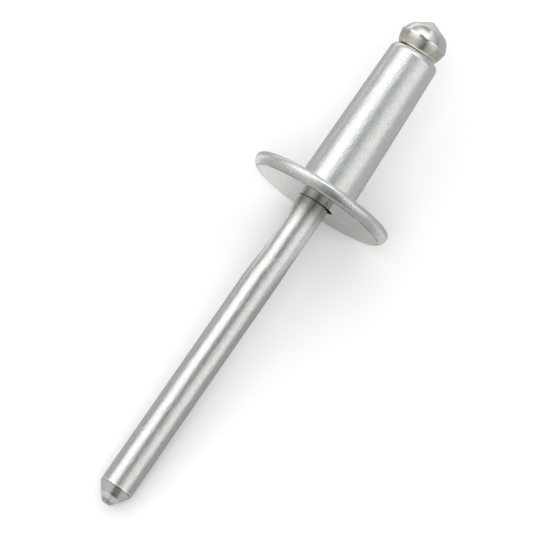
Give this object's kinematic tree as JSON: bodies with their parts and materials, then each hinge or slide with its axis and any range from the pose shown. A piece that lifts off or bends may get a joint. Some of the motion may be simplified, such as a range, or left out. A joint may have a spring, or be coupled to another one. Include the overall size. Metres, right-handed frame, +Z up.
{
  "type": "pop rivet",
  "caption": "Large-flange blind rivet, not yet set: a flanged, slightly tapered aluminium sleeve on a plated steel mandrel with a pointed tail, necked stem and domed, cone-tipped head.",
  "frame": {"origin": "centre of the flange's bearing face, on the sleeve's axis", "axes": "+Z up, as the rivet lies at rest on the flange's rim and the mandrel's tail; +X level, towards the mandrel's head. The sleeve's axis lies in the XZ plane and rises about 9.3 degrees towards the head"},
  "size_m": [0.046, 0.0122, 0.012],
  "materials": {
    "sleeve_aluminium": "drawn, satin bright",
    "mandrel_steel": "bright zinc plated, drawn along its length"
  },
  "bodies": {
    "root": {"rivet_body": "sleeve_aluminium", "mandrel": "mandrel_steel"}
  },
  "joints": []
}
